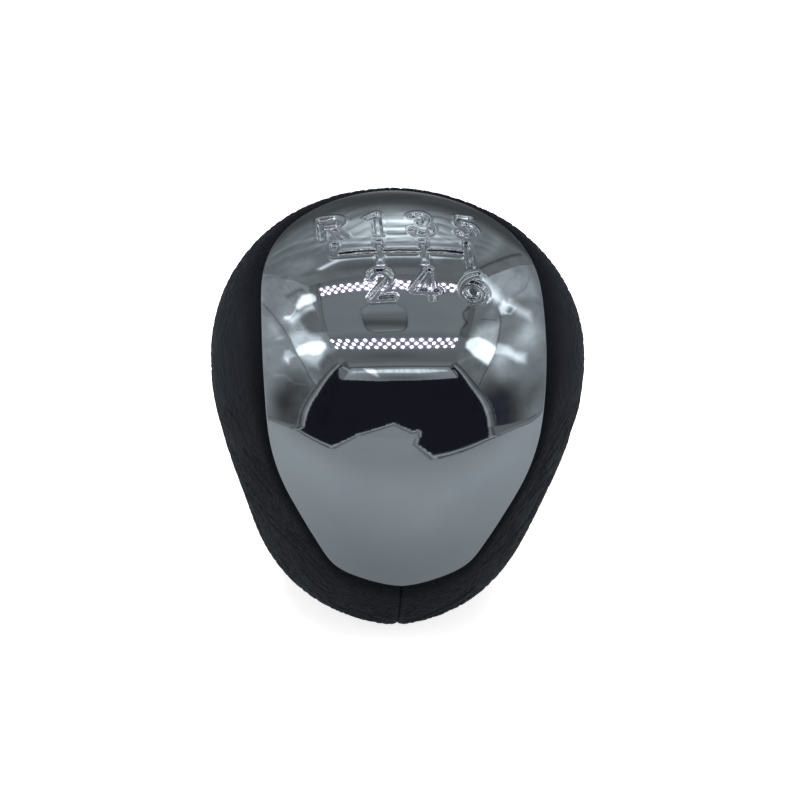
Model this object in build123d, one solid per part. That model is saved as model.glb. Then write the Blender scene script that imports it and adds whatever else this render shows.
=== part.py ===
from build123d import *
import math
import os

os.makedirs("parts", exist_ok=True)

# A gear shift knob: a leather wrapped head on a short neck, with a plated shield let into its top
# and front. Millimetres. The lever's axis is Z, the base stands on Z = 0, the driver looks from -Y.

# Head
head_width = 56.4
head_depth = 59.4
head_height = 62.5
neck_height = 3.4
neck_radius = 15.5
middle_height = 30.0
crown_flat_at = 0.012
section_count = 22
section_crowding = 1.6
points_round_section = 16

# Wall build-up, measured inwards from the shield's outer face
leather_recess = 0.25
leather_thickness = 1.1
fit_gap = 0.05
core_wall = 2.8

# Shield
shield_tilt = 58.0
shield_half_width = 20.6
shield_centre = 24.0
shield_up = 25.2
shield_down = 36.7
shield_fullness_up = 2.0
shield_fullness_down = 3.1
shield_thickness = 1.8
shield_edge_gap = 0.1
shield_rim_round = 0.5
outline_points = 40
tape_thickness = 0.45
tape_margin = 0.5
ledge_width = 3.6
front_tilt = 48.0
front_offset = 21.0

# Snap legs and locating skirt under the shield
root_bite = 0.5
skirt_gap = 0.3
skirt_thickness = 1.2
skirt_depth = 1.8
leg_angles = (-90.0, -28.0, 32.0, 90.0, 148.0, 208.0)
leg_width = 5.0
leg_thickness = 1.6
leg_gap = 0.4
leg_lead_in = 0.9
hook_reach = 0.9
hook_depth = 1.8
hook_gap = 0.15

# Core, post and ribs
floor_height = 9.5
floor_thickness = 2.5
post_radius = 8.5
post_foot = 1.0
post_rise = 2.5
post_chamfer = 0.6
rib_count = 8
rib_thickness = 1.6
rib_bite = 1.0
hem_gap = 0.8

# Threaded bush
thread_minor_radius = 4.35
bush_length = 24.0
bush_radius = 6.4
bush_groove_depth = 0.7
bush_groove_width = 2.4
bush_hex_across = 13.6
bush_hex_height = 4.0
bush_crown = 1.0

# Weight and its push-on clip
weight_seat = 20.0
weight_height = 16.0
weight_radius = 15.0
weight_chamfer = 0.8
clip_thickness = 0.5
clip_radius = 13.0
clip_ring_width = 2.6
clip_teeth = 8
clip_tooth_width = 3.2

# Base collar
collar_foot_radius = 14.2
collar_flange_radius = 15.2
collar_round = 0.6
spigot_radius = 12.0
spigot_wall = 1.4
spigot_top_gap = 0.3
spigot_slots = 4
spigot_slot_width = 2.4
spigot_slot_depth = 4.5
bead_height = 7.4
bead_half_height = 0.4
bead_reach = 0.45
bead_gap = 0.1

# Control rings of the head from crown to neck. Each row is a share of the height between neck and crown,
# a share of the half width, a share of the half depth for the ring's centre, one for its reach,
# and the egg taper, which is positive where the ring narrows towards the driver.
CONTROL_RINGS = (
    (1.000, 0.000, -0.044, 0.000, 0.00),
    (1.000, 0.678, -0.044, 0.667, 0.00),
    (0.872, 1.081, 0.115, 1.019, 0.00),
    (0.767, 1.152, 0.180, 1.117, -0.33),
    (0.609, 0.974, 0.078, 1.042, -0.40),
    (0.302, 0.823, -0.093, 0.909, -0.09),
    (0.009, 0.781, -0.180, 0.745, 0.33),
)

leather_outer = leather_recess
leather_inner = leather_recess + leather_thickness
core_outer = leather_inner + fit_gap
core_inner = core_outer + core_wall
tape_outer = shield_thickness + fit_gap
tape_inner = tape_outer + tape_thickness
seat_depth = tape_inner + fit_gap
floor_top = floor_height + floor_thickness
weight_top = weight_seat + weight_height
post_top = weight_top + post_rise
spigot_height = floor_height - spigot_top_gap
spigot_hole = spigot_radius + 2 * fit_gap
beyond = 2 * max(head_width, head_depth, head_height)


def control_rings(skin):
    """The control rings of the head's surface, moved in by skin from the outer face."""
    across = head_width / 2 - skin
    deep = head_depth / 2 - skin
    upward = (head_height - middle_height - skin) / (head_height - middle_height)
    rings = []
    for height, width, centre, reach, egg in CONTROL_RINGS:
        z = neck_height + height * (head_height - neck_height)
        rings.append((z, width * across, centre * deep, reach * deep, egg))
    neck = neck_radius * across / (head_width / 2)
    rings.append((neck_height, neck, 0.0, neck, 0.0))
    return [(middle_height + (z - middle_height) * upward, a, c, d, egg) for z, a, c, d, egg in rings]


def ring_at(rings, share):
    """The ring at a share of the way from crown to neck, by a Bezier blend of the control rings."""
    order = len(rings) - 1
    weights = [math.comb(order, i) * share**i * (1 - share) ** (order - i) for i in range(order + 1)]
    return [sum(w * ring[j] for w, ring in zip(weights, rings)) for j in range(5)]


def section(rings, share):
    z, half_width, centre, reach, egg = ring_at(rings, share)
    points = []
    for i in range(points_round_section):
        angle = 2 * math.pi * i / points_round_section
        x = half_width * math.cos(angle) * (1 + egg * math.sin(angle))
        y = centre + reach * math.sin(angle)
        points.append((x, y, z))
    even = [i / points_round_section for i in range(points_round_section + 1)]
    return make_face(Edge.make_spline(points, periodic=True, parameters=even))


def head(skin):
    """The solid head, moved in by skin from the shield's outer face."""
    rings = control_rings(skin)
    steps = [(i / (section_count - 1)) ** section_crowding for i in range(section_count)]
    return loft([section(rings, crown_flat_at + (1 - crown_flat_at) * step) for step in steps])


def facing_plane(tilt, along):
    """A plane that faces the driver and tilts back to face up at 90, at a distance from the origin."""
    way_out = Vector(0, -math.cos(math.radians(tilt)), math.sin(math.radians(tilt)))
    return Plane(origin=way_out * along, x_dir=(1, 0, 0), z_dir=way_out)


def shield_point(angle, grow):
    """A point of the shield's outline. Angle 90 is its rounded top and -90 its tip."""
    a = math.radians(angle)
    x = (shield_half_width + grow) * math.cos(a)
    rise = abs(math.sin(a))
    if math.sin(a) >= 0:
        return x, shield_centre + (shield_up + grow) * rise ** (2 / shield_fullness_up)
    return x, shield_centre - (shield_down + grow) * rise ** (2 / shield_fullness_down)


def shield_bar(grow):
    """A bar with the shield's outline, run out along its way out and open to the front half only."""
    angles = [90 - 360 * i / outline_points for i in range(outline_points)]
    outline = make_face(Spline(*[shield_point(a, grow) for a in angles], periodic=True))
    bar = extrude(facing_plane(shield_tilt, 0) * outline, amount=beyond)
    front = Pos(0, 0, beyond / 2) * Box(2 * beyond, 2 * beyond, beyond)
    return bar & (facing_plane(front_tilt, front_offset) * front)


def below(height):
    return Pos(0, 0, height - beyond / 2) * Box(2 * beyond, 2 * beyond, beyond)


def tube(outer, inner, low, high):
    ring = Circle(outer) - Circle(inner)
    return extrude(Pos(0, 0, low) * ring, amount=high - low)


def rod(radius, low, high):
    return extrude(Pos(0, 0, low) * Circle(radius), amount=high - low)


def is_inside(x, y, z, rings):
    """Whether a point lies inside the head that these control rings give."""
    if not rings[-1][0] < z < rings[0][0]:
        return False
    low, high = 0.0, 1.0
    for _ in range(24):
        share = (low + high) / 2
        if ring_at(rings, share)[0] > z:
            low = share
        else:
            high = share
    _, half_width, centre, reach, egg = ring_at(rings, share)
    s = (y - centre) / reach
    return abs(s) < 1 and abs(x) < half_width * math.sqrt(1 - s * s) * (1 + egg * s)


def depth_at(x, v, skin):
    """How far out a line along the shield's way, at x and v on its plane, leaves the head."""
    rings = control_rings(skin)
    plane = facing_plane(shield_tilt, 0)
    outside = beyond
    while not is_inside(*plane.from_local_coords(Vector(x, v, outside)), rings):
        outside -= 1
    inside, outside = outside, outside + 1
    for _ in range(12):
        middle = (inside + outside) / 2
        if is_inside(*plane.from_local_coords(Vector(x, v, middle)), rings):
            inside = middle
        else:
            outside = middle
    return inside


def snap_leg(angle):
    """A leg beside the window's edge, with a hook that catches under the core's ledge."""
    edge_x, edge_v = shield_point(angle, -ledge_width)
    ahead_x, ahead_v = shield_point(angle + 1, -ledge_width)
    behind_x, behind_v = shield_point(angle - 1, -ledge_width)
    outward = math.atan2(behind_x - ahead_x, ahead_v - behind_v)
    place = Pos(edge_x, edge_v, 0) * Rot(0, 0, math.degrees(outward))
    corners = [(place * Pos(hook_reach, side * leg_width / 2, 0)).position for side in (-1, 0, 1)]
    catch = min(depth_at(c.X, c.Y, core_inner) for c in corners) - hook_gap
    foot = catch - hook_depth
    profile = Polyline(
        (-leg_gap - leg_thickness, foot),
        (-leg_gap, foot),
        (hook_reach, foot + leg_lead_in),
        (hook_reach, catch),
        (-leg_gap, catch),
        (-leg_gap, beyond),
        (-leg_gap - leg_thickness, beyond),
        close=True,
    )
    leg = extrude(Plane.XZ * make_face(profile), amount=leg_width / 2, both=True)
    return facing_plane(shield_tilt, 0) * (place * leg)


def outer_rim(shell):
    """The edges where the shield's outer face meets its side."""
    outer, inner = control_rings(-fit_gap), control_rings(fit_gap)
    middles = [(edge, edge.position_at(0.5)) for edge in shell.edges()]
    return [e for e, m in middles if is_inside(*m, outer) and not is_inside(*m, inner)]


def make_shield():
    shield = (head(0) - head(shield_thickness)) & shield_bar(0)
    shield = fillet(outer_rim(shield), shield_rim_round)
    root = head(shield_thickness - root_bite)
    skirt_outline = -ledge_width - skirt_gap
    skirt = shield_bar(skirt_outline) - shield_bar(skirt_outline - skirt_thickness)
    shield += skirt & (root - head(shield_thickness + skirt_depth))
    legs = Part() + [snap_leg(angle) for angle in leg_angles]
    return shield + (legs & root)


def make_tape():
    band = shield_bar(-tape_margin) - shield_bar(tape_margin - ledge_width)
    return (head(tape_outer) - head(tape_inner)) & band


def make_leather():
    """The two sewn panels, left and right, turned in under the neck."""
    cover = head(leather_outer) - head(leather_inner)
    cover -= shield_bar(shield_edge_gap)
    cover -= rod(spigot_hole + hem_gap, 0, floor_height)
    half = Box(beyond, 2 * beyond, 2 * beyond)
    left = cover & (Pos(-beyond / 2 - fit_gap, 0, 0) * half)
    right = cover & (Pos(beyond / 2 + fit_gap, 0, 0) * half)
    return left, right


def bush_body(gap):
    """The bush's outside, grown by gap: a grooved barrel over a hexagon that stops it turning."""
    barrel = rod(bush_radius + gap, 0, bush_length + gap)
    pitch = (bush_length - bush_hex_height) / 3
    for i in (1, 2):
        middle = bush_hex_height + i * pitch
        half = bush_groove_width / 2 - gap
        barrel -= tube(bush_radius * 2, bush_radius - bush_groove_depth + gap, middle - half, middle + half)
    flats = RegularPolygon(bush_hex_across / 2 + gap, 6, major_radius=False)
    return barrel + extrude(flats, amount=bush_hex_height + gap)


def make_bush():
    return bush_body(0) - rod(thread_minor_radius, 0, bush_length - bush_crown)


def make_core():
    body = head(core_outer)
    body -= shield_bar(shield_edge_gap) - head(seat_depth)
    hollow = head(core_inner) - below(floor_top)
    body -= hollow
    body -= shield_bar(-ledge_width)
    body -= rod(spigot_hole, 0, floor_height)
    body -= bead_disc(bead_gap)
    body += chamfer(rod(post_radius, post_foot, post_top).edges().sort_by(Axis.Z)[-1], post_chamfer)
    ribs = Part()
    for i in range(rib_count):
        plate = Pos(post_radius - rib_bite + beyond / 2, 0, (floor_height + weight_seat) / 2)
        plate *= Box(beyond, rib_thickness, weight_seat - floor_height)
        ribs += Rot(0, 0, 360 * (i + 0.5) / rib_count) * plate
    body += (ribs & head(core_inner - rib_bite)) - below(floor_top - rib_bite)
    return body - bush_body(fit_gap)


def make_weight():
    ring = tube(weight_radius, post_radius + 2 * fit_gap, weight_seat + fit_gap, weight_top)
    return chamfer(ring.edges().filter_by(GeomType.CIRCLE), weight_chamfer)


def make_clip():
    low = weight_top + fit_gap
    high = low + clip_thickness
    ring = tube(clip_radius, clip_radius - clip_ring_width, low, high)
    disc = tube(clip_radius, post_radius + fit_gap, low, high)
    for i in range(clip_teeth):
        tooth = Box(clip_radius, clip_tooth_width, clip_thickness)
        tooth = Pos(clip_radius / 2, 0, (low + high) / 2) * tooth
        ring += (Rot(0, 0, 360 * i / clip_teeth) * tooth) & disc
    return ring


def bead_disc(gap):
    """The bead round the collar's spigot as a disc, grown by gap for its groove in the core."""
    half = bead_half_height + gap
    return rod(spigot_radius + bead_reach + gap, bead_height - half, bead_height + half)


def make_collar():
    """The ring that traps the leather's hem, with a slotted spigot that snaps into the core."""
    top = neck_height - fit_gap
    flare = math.degrees(math.atan2(collar_flange_radius - collar_foot_radius, top))
    flange = extrude(Circle(collar_foot_radius), amount=top, taper=-flare)
    flange = fillet(flange.edges().sort_by(Axis.Z)[0], collar_round)
    spigot = rod(spigot_radius, 0, spigot_height) + bead_disc(0)
    collar = flange + spigot - rod(spigot_radius - spigot_wall, 0, spigot_height)
    for i in range(spigot_slots):
        slot = Box(2 * spigot_radius, spigot_slot_width, 2 * spigot_slot_depth)
        slot = Pos(spigot_radius, 0, spigot_height) * slot
        collar -= Rot(0, 0, 360 * (i + 0.5) / spigot_slots) * slot
    return collar


leather_left, leather_right = make_leather()
nodes = {
    "trim_shield": make_shield(),
    "shield_tape": make_tape(),
    "leather_left": leather_left,
    "leather_right": leather_right,
    "core_body": make_core(),
    "threaded_bush": make_bush(),
    "steel_weight": make_weight(),
    "weight_clip": make_clip(),
    "base_collar": make_collar(),
}
for name, shape in nodes.items():
    export_step(shape, f"parts/{name}.step")
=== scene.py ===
import math

import bpy
import numpy as np
from mathutils import Matrix, Vector
from mathutils import noise as solid_noise


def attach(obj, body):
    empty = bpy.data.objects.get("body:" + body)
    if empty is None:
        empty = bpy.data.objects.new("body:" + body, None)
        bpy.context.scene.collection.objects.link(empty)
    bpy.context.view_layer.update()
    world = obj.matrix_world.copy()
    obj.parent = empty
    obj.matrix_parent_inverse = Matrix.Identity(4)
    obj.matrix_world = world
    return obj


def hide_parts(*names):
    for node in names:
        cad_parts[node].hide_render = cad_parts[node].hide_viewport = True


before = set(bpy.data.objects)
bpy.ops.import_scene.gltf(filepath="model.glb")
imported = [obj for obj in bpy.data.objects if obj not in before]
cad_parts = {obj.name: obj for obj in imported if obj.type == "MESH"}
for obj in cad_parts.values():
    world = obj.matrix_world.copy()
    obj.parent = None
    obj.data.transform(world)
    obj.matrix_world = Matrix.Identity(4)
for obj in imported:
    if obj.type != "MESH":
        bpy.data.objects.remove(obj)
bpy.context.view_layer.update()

MM = 0.001

# Head, as in the CAD model
HEAD_WIDTH = 56.4 * MM
HEAD_DEPTH = 59.4 * MM
HEAD_HEIGHT = 62.5 * MM
NECK_HEIGHT = 3.4 * MM
NECK_RADIUS = 15.5 * MM
MIDDLE_HEIGHT = 30.0 * MM
# Height share, half width share, centre share, reach share and egg taper of each control ring
CONTROL_RINGS = (
    (1.000, 0.000, -0.044, 0.000, 0.00),
    (1.000, 0.678, -0.044, 0.667, 0.00),
    (0.872, 1.081, 0.115, 1.019, 0.00),
    (0.767, 1.152, 0.180, 1.117, -0.33),
    (0.609, 0.974, 0.078, 1.042, -0.40),
    (0.302, 0.823, -0.093, 0.909, -0.09),
    (0.009, 0.781, -0.180, 0.745, 0.33),
)

# Shield outline, on a plane that faces the driver and tilts back
SHIELD_TILT = math.radians(58)
SHIELD_HALF_WIDTH = 20.65 * MM
SHIELD_CENTRE = 23.2 * MM
SHIELD_UP = 24.8 * MM
SHIELD_DOWN = 35.9 * MM
FULLNESS_ACROSS = 1.7
FULLNESS_UP = 2.6
FULLNESS_DOWN = 3.4
# Bulges of the flanks beside the tip: amount, place up the plane and length, in millimetres
FLANK_BULGES = ((0.36, 4.0, 4.8), (-0.4, -4.3, 3.4), (0.95, -10.3, 2.2))
FLANK_SOFTENING = 1.5 * MM
SHIELD_THICKNESS = 1.8 * MM
SHIELD_GAP = 0.1 * MM
RIM_RADIUS = 0.14 * MM
# Steps round the rim in degrees, small at first so that the face beside it stays true
RIM_BENDS = (2, 8, 20, 36, 54, 72, 90)
BACK_CHAMFER = 0.2 * MM
# Rings of the shield's back, as shares of the way in
BACK_RINGS = (0.15, 0.35, 0.6, 0.8)

# Shift pattern, sunk along a way that tilts back more steeply than the shield
PATTERN_TILT = math.radians(64)
PATTERN_V = 25.3 * MM
COLUMN_PITCH = 6.52 * MM
GATE_HALF_HEIGHT = 2.6 * MM
DIGITS_UP = 6.85 * MM
DIGITS_DOWN = -7.0 * MM
GROOVE_FLOOR = 0.34 * MM
GROOVE_WALL = 0.24 * MM
GROOVE_DEPTH = 0.52 * MM
LIP_HEIGHT = 0.042 * MM
LIP_WIDTH = 0.24 * MM
FACE_INSET = 0.078 * MM

# Grid of the shield's face: fine where the pattern is
PATTERN_LOW = 20.2 * MM
PATTERN_HIGH = 41.0 * MM
PATTERN_HALF_WIDTH = 12.8 * MM
PATTERN_BORDER = 1.5 * MM
FINE_STEP = 0.101 * MM
COARSE_STEP = 0.62 * MM
EDGE_STEP = 1.1 * MM
COARSE_COLUMNS = 14
FINE_SHARE = 0.93

# Leather
LEATHER_RECESS = 0.02 * MM
LEATHER_THICKNESS = 1.1 * MM
SEAM_GAP = 0.02 * MM
GRAIN_CELL = 1.15 * MM
GRAIN_DEPTH = 0.1 * MM
GRAIN_EDGE = 0.42
CREASE_DEPTH = 0.24 * MM
CREASE_SPACING = 1.6 * MM
CREASE_LENGTH = 9 * MM
CREASE_LEAN = 0.55
CREASE_SWAY = 1.6
CREASE_EDGE = 0.15
SWAY_SIZE = 6 * MM
SWELL_DEPTH = 0.2 * MM
SWELL_SIZE = 8 * MM
SEAM_DEPTH = 0.3 * MM
SEAM_HALF_WIDTH = 0.24 * MM
PUCKER_SPACING = 3.4 * MM
TUCK_DEPTH = 0.6 * MM
TUCK_REACH = 1.3 * MM
TUCK_REACH_LOW = 3.8 * MM
TUCK_CURVE = 1.3
# Soft bulges: place, size and height in millimetres
BULGES = (
    ((-20.4, -11.5, 13.5), 6.5, 0.45),
    ((16.5, -18.3, 15.5), 6.5, 0.4),
    ((0.0, -23.2, 8.4), 5.0, 0.35),
)
# Points down and across a panel's outside, and how many of their steps make one of the inside's
PANEL_DOWN = 361
PANEL_ACROSS = 241
PANEL_STEPS = 6

# Camera
CAMERA_ELEVATION = math.radians(37.67)
CAMERA_AZIMUTH = math.radians(-5.01)
CAMERA_ROLL = math.radians(2.43)
CAMERA_DISTANCE = 380 * MM
AIM_HEIGHT = 27.4 * MM
AIM_RIGHT = 1.05 * MM
AIM_UP = 4.47 * MM
VIEW_WIDTH = 124.42 * MM
SENSOR = 36.0

# Studio: a silver light tent that only reflections see, a white floor and soft lamps
TENT_HALF_WIDTH = 165 * MM
TENT_FRONT = -260 * MM
TENT_BACK = 220 * MM
TENT_HEIGHT = 330 * MM
TENT_FLOOR = 0.3 * MM
CARD_STEP = 2.5 * MM
PLATING_TONE = 0.78
TENT_TINT = np.array([0.945, 1.0, 1.035])
NIGHT_TINT = np.array([0.95, 1.0, 1.36])
# Where the side walls end at the front, then how far and up to what height that end leans in toward
# the floor, in millimetres
LEFT_END = 167
RIGHT_END = -200
LEFT_LEAN = (15, 150)
RIGHT_LEAN = (-27, 190)
# Strips of lamps in millimetres: name, spacing, first and last x, first row, row spacing, bow,
# and the half sizes of a lamp and of the glow round it
LAMP_STRIPS = (
    ("front", 21, (-160, 142), -63, 19, 14, (4.5, 9), (6.6, 12)),
    ("rear", 15, (-133, 128), 185, 13, 5, (3.7, 6.4), (5.4, 8.6)),
)
LAMP_ROWS = 3
LAMP_SIDES = 12
BOW_HALF_WIDTH = 150
FLOOR_HALF = 3.0
FLOOR_LOW = -0.02 * MM
FLOOR_GLOW = 0.62
AMBIENT = 0.5
# Soft lamps: name, place, aim, size and power
SOFT_LAMPS = (
    ("overhead", (0.0, 0.05, 0.75), (0, 0, 0), 0.6, 6.0),
    ("left_soft", (-0.6, -0.25, 0.35), (0, 0, 0.03), 0.5, 2.0),
    ("right_soft", (0.6, -0.25, 0.35), (0, 0, 0.03), 0.5, 2.0),
)


def smooth(low, high, value):
    """0 at low and 1 at high, with a soft start and end."""
    s = np.clip((value - low) / (high - low), 0.0, 1.0)
    return s * s * (3 - 2 * s)


def bell(value, at, width):
    """1 where the value is at, and fading over width on both sides."""
    return np.exp(-(((value - at) / width) ** 2))


# The head's surface and the shield's outline
def control_rings(skin):
    """The control rings of the head's surface, moved in by skin."""
    across = HEAD_WIDTH / 2 - skin
    deep = HEAD_DEPTH / 2 - skin
    upward = (HEAD_HEIGHT - MIDDLE_HEIGHT - skin) / (HEAD_HEIGHT - MIDDLE_HEIGHT)
    rings = []
    for height, width, centre, reach, egg in CONTROL_RINGS:
        z = NECK_HEIGHT + height * (HEAD_HEIGHT - NECK_HEIGHT)
        rings.append((z, width * across, centre * deep, reach * deep, egg))
    neck = NECK_RADIUS * across / (HEAD_WIDTH / 2)
    rings.append((NECK_HEIGHT, neck, 0.0, neck, 0.0))
    return np.array([(MIDDLE_HEIGHT + (z - MIDDLE_HEIGHT) * upward, *rest) for z, *rest in rings])


def ring_at(share, skin):
    """Height, half width, centre, reach and egg taper at shares of the way from crown to neck."""
    rings = control_rings(skin)
    share = np.asarray(share, float)[..., None]
    n = len(rings) - 1
    return sum(math.comb(n, i) * share**i * (1 - share) ** (n - i) * rings[i] for i in range(n + 1))


def head_point(angle, share, skin):
    """Points of the head at an angle round its axis and a share of the way down."""
    z, half_width, centre, reach, egg = np.moveaxis(ring_at(share, skin), -1, 0)
    x = half_width * np.cos(angle) * (1 + egg * np.sin(angle))
    return np.stack([x, centre + reach * np.sin(angle), z], -1)


class Head:
    """The head's surface at one skin depth, looked up by height."""

    def __init__(self, skin):
        self.share = np.linspace(0, 1, 4001) ** 2
        self.rings = ring_at(self.share, skin)[::-1]
        self.top = self.rings[-1, 0]

    def ring(self, z):
        """Half width, centre, reach and egg taper at a height."""
        return [np.interp(z, self.rings[:, 0], self.rings[:, j]) for j in range(1, 5)]

    def outside(self, p):
        """Above 0 outside the head and below 0 inside it."""
        half_width, centre, reach, egg = self.ring(p[..., 2])
        s = (p[..., 1] - centre) / np.maximum(reach, 1e-7)
        across = p[..., 0] / np.maximum(half_width * (1 + egg * np.clip(s, -1, 1)), 1e-7)
        value = s**2 + across**2 - 1
        return np.where(p[..., 2] > self.top, 1.0, value)

    def angle_and_share(self, p):
        """The angle round the head and the share of the way down of points on it."""
        half_width, centre, reach, egg = self.ring(p[..., 2])
        s = (p[..., 1] - centre) / reach
        angle = np.arctan2(s, p[..., 0] / (half_width * (1 + egg * s)))
        share = np.interp(-p[..., 2], -self.rings[::-1, 0], self.share)
        return angle, share


def facing(tilt):
    """The way up the plane that faces the driver at this tilt, and the way out of it."""
    up = np.array([0.0, math.sin(tilt), math.cos(tilt)])
    out = np.array([0.0, -math.cos(tilt), math.sin(tilt)])
    return up, out


def drop_onto(x, v, skin):
    """Points of the head's surface under x and v of the shield's plane."""
    up, out = facing(SHIELD_TILT)
    head = Head(skin)
    base = np.stack([x, 0 * x, 0 * x], -1) + v[..., None] * up
    far, near, step = 66 * MM, 16 * MM, 1 * MM
    inside = np.full(x.shape, near)
    found = np.zeros(x.shape, bool)
    for reach in np.arange(far, near, -step):
        hit = (head.outside(base + reach * out) < 0) & ~found
        inside[hit] = reach
        found |= hit
    low, high = inside, inside + step
    for _ in range(18):
        middle = (low + high) / 2
        is_in = head.outside(base + middle[..., None] * out) < 0
        low, high = np.where(is_in, middle, low), np.where(is_in, high, middle)
    return base + low[..., None] * out


def flank(v):
    """How far the outline bulges near its tip: straight flanks that end in rounder corners."""
    return sum(amount * bell(v / MM, at, length) for amount, at, length in FLANK_BULGES) * MM


def outline_at(angle, grow):
    """The shield's outline on its plane. The angle is 90 degrees at its rounded top, -90 at its tip."""
    x = (SHIELD_HALF_WIDTH + grow) * np.abs(np.cos(angle)) ** (2 / FULLNESS_ACROSS) * np.sign(np.cos(angle))
    rise = np.abs(np.sin(angle))
    above = SHIELD_CENTRE + (SHIELD_UP + grow) * rise ** (2 / FULLNESS_UP)
    under = SHIELD_CENTRE - (SHIELD_DOWN + grow) * rise ** (2 / FULLNESS_DOWN)
    v = np.where(np.sin(angle) >= 0, above, under)
    return x + flank(v) * x / (np.abs(x) + FLANK_SOFTENING), v


def surface_normal(points, skin):
    """Which way the head's surface faces at points on it."""
    head = Head(skin)
    steps = 0.02 * MM * np.eye(3)
    slope = np.stack([head.outside(points + step) - head.outside(points - step) for step in steps], -1)
    return slope / np.linalg.norm(slope, axis=-1, keepdims=True)


# Mesh helpers
def new_object(name, verts, faces, material):
    """A mesh object in the scene."""
    mesh = bpy.data.meshes.new(name)
    mesh.from_pydata([tuple(v) for v in verts], [], faces)
    mesh.materials.append(material)
    made = bpy.data.objects.new(name, mesh)
    bpy.context.scene.collection.objects.link(made)
    return made


def make_piece(name, verts, faces, material, node):
    """A smooth piece that rides on the root body and stands for a CAD node."""
    piece = new_object(name, verts, faces, material)
    piece.data.validate()
    piece.data.shade_smooth()
    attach(piece, "root")
    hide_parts(node)
    return piece


def quads(rows, columns, start=0):
    """Faces of a grid of points in rows."""
    faces = []
    for i in range(rows - 1):
        for j in range(columns - 1):
            a = start + i * columns + j
            faces.append((a, a + 1, a + columns + 1, a + columns))
    return faces


def grid_edges(rows, columns, start=0):
    """The points along the first and last column and the first and last row of a grid."""
    points = start + np.arange(rows * columns).reshape(rows, columns)
    return [run.tolist() for run in (points[::-1, 0], points[:, -1], points[0], points[-1, ::-1])]


def stitch(outer, inner, faces):
    """Joins two runs of points, the first with a whole number of steps to each of the other's."""
    each = (len(outer) - 1) // (len(inner) - 1)
    for j in range(len(inner) - 1):
        for i in range(each):
            faces.append((inner[j], outer[each * j + i + 1], outer[each * j + i]))
        faces.append((inner[j], inner[j + 1], outer[each * (j + 1)]))


def run_lengths(points, axis):
    """Distance from the first point of each row or column."""
    steps = np.linalg.norm(np.diff(points, axis=axis), axis=2)
    return np.insert(np.cumsum(steps, axis), 0, 0, axis)


# Shader helpers
def new_material(name):
    """A material with its nodes, its links and its shader."""
    material = bpy.data.materials.new(name)
    material.use_nodes = True
    nodes, links = material.node_tree.nodes, material.node_tree.links
    return material, nodes, links, nodes["Principled BSDF"]


def bump(nodes, links, shader, height, strength, distance, normal=None):
    """Fine relief on top of the mesh, or on top of another bump's normal."""
    node = nodes.new("ShaderNodeBump")
    node.inputs["Strength"].default_value = strength
    node.inputs["Distance"].default_value = distance
    links.new(height, node.inputs["Height"])
    if normal is not None:
        links.new(normal, node.inputs["Normal"])
    links.new(node.outputs["Normal"], shader.inputs["Normal"])
    return node.outputs["Normal"]


def place(nodes):
    """Places of the piece in metres."""
    return nodes.new("ShaderNodeTexCoord").outputs["Object"]


def noise(nodes, links, scale, detail=4.0, roughness=0.5):
    """Soft noise from 0 to 1."""
    node = nodes.new("ShaderNodeTexNoise")
    node.inputs["Scale"].default_value = scale
    node.inputs["Detail"].default_value = detail
    node.inputs["Roughness"].default_value = roughness
    links.new(place(nodes), node.inputs["Vector"])
    return node.outputs["Fac"]


def ramp(nodes, links, value, low, high, dark, light):
    """A colour that runs from dark at the low value to light at the high one."""
    node = nodes.new("ShaderNodeValToRGB")
    node.color_ramp.elements[0].position = low
    node.color_ramp.elements[1].position = high
    node.color_ramp.elements[0].color = (*dark, 1)
    node.color_ramp.elements[1].color = (*light, 1)
    links.new(value, node.inputs["Fac"])
    return node.outputs["Color"]


def roughened(nodes, links, shader, value, low, high, at_low, at_high):
    """Roughness that follows a value: at_low up to the low one and at_high from the high one."""
    spread = ramp(nodes, links, value, low, high, (at_low,) * 3, (at_high,) * 3)
    links.new(spread, shader.inputs["Roughness"])


def warped(nodes, links, scale, amount):
    """Places of the piece, pushed about by noise."""
    warp = nodes.new("ShaderNodeTexNoise")
    warp.inputs["Scale"].default_value = scale
    links.new(place(nodes), warp.inputs["Vector"])
    push = nodes.new("ShaderNodeVectorMath")
    push.operation = "MULTIPLY_ADD"
    links.new(warp.outputs["Color"], push.inputs[0])
    push.inputs[1].default_value = (amount,) * 3
    links.new(place(nodes), push.inputs[2])
    return push.outputs["Vector"]


def combined(nodes, links, operation, first, second):
    """Two values put together by a math node."""
    node = nodes.new("ShaderNodeMath")
    node.operation = operation
    links.new(first, node.inputs[0])
    links.new(second, node.inputs[1])
    return node.outputs[0]


def times(nodes, links, value, factor, plus=0.0):
    """A value times a number, plus another."""
    node = nodes.new("ShaderNodeMath")
    node.operation = "MULTIPLY_ADD"
    links.new(value, node.inputs[0])
    node.inputs[1].default_value = factor
    node.inputs[2].default_value = plus
    return node.outputs[0]


def seen_directly(nodes, links):
    """1 for camera, glossy and transmission rays, else 0."""
    path = nodes.new("ShaderNodeLightPath")
    value = path.outputs["Is Camera Ray"]
    for kind in ("Is Glossy Ray", "Is Transmission Ray"):
        value = combined(nodes, links, "MAXIMUM", value, path.outputs[kind])
    return value


# Materials of the knob
def plating():
    """Bright chrome plating with the faint orange peel of the plastic under it."""
    material, nodes, links, shader = new_material("chrome_plating")
    shader.inputs["Metallic"].default_value = 1.0
    tone = ramp(nodes, links, noise(nodes, links, 90), 0.35, 0.7, (0.74, 0.755, 0.77), (0.80, 0.81, 0.82))
    links.new(tone, shader.inputs["Base Color"])
    roughened(nodes, links, shader, noise(nodes, links, 260, 6), 0.3, 0.75, 0.025, 0.06)
    bump(nodes, links, shader, noise(nodes, links, 420, 2), 0.04, 0.00005)
    return material


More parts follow.
